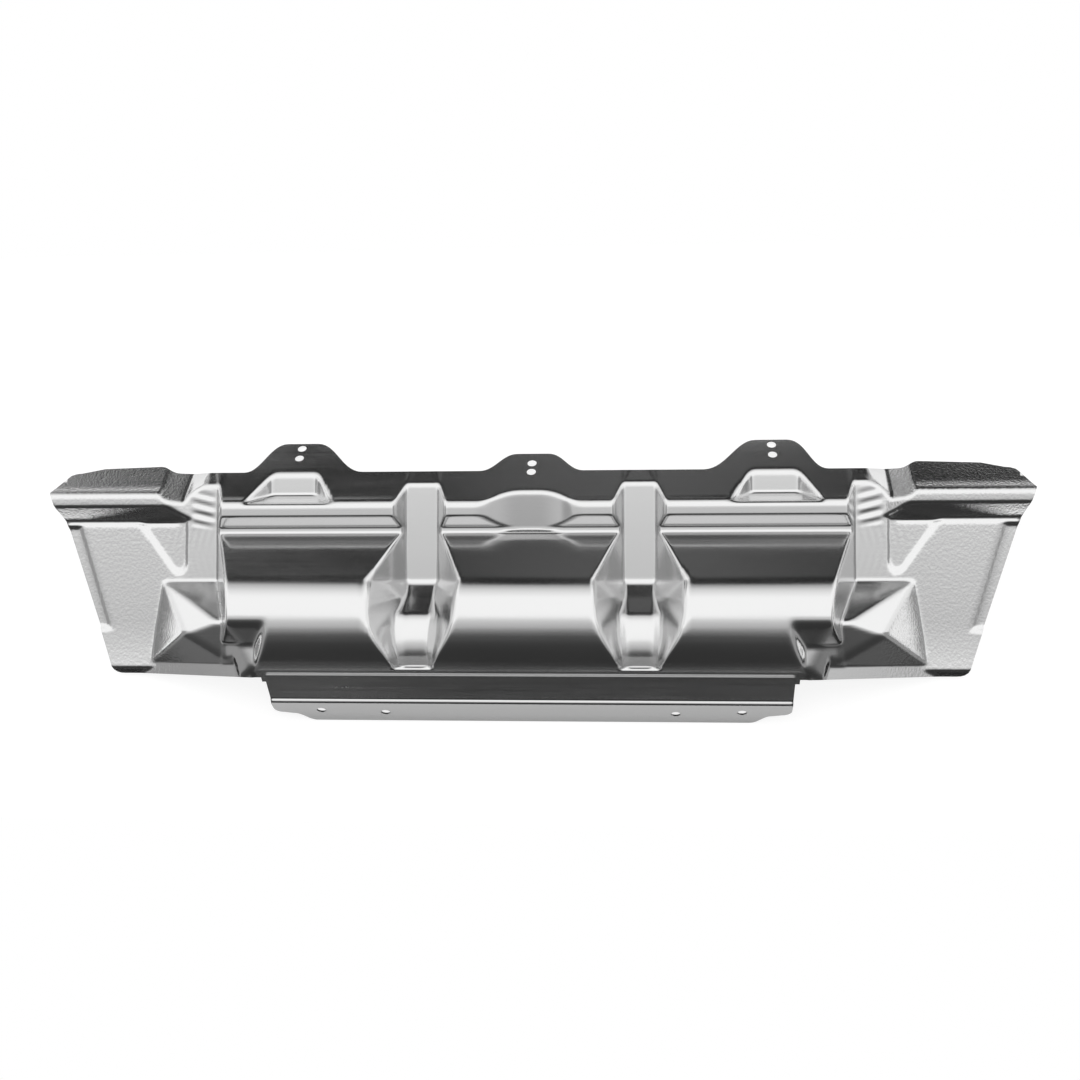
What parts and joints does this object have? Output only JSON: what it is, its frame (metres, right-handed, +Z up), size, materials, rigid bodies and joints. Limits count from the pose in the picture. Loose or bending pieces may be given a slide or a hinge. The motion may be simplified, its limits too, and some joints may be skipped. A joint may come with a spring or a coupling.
{
  "type": "exhaust heat shield",
  "caption": "Drawn sheet-metal heat shield with a ribbed trough over the exhaust, bolt tabs along its top edge and a folded mounting strip below.",
  "frame": {"origin": "centre of the bounding box, on the surface that the shield lies on", "axes": "+X along the shield, +Y towards the bolt tabs, +Z up out of the convex face"},
  "size_m": [0.882, 0.2586, 0.0867],
  "materials": {
    "pressed_sheet": "bright drawn stainless sheet with a fine matt grain, wiped streaks and a few draw wrinkles",
    "folded_sheet": "bright folded stainless strip with rolling streaks along its length"
  },
  "bodies": {
    "root": {"shield_pressing": "pressed_sheet", "mounting_strip": "folded_sheet"}
  },
  "joints": []
}
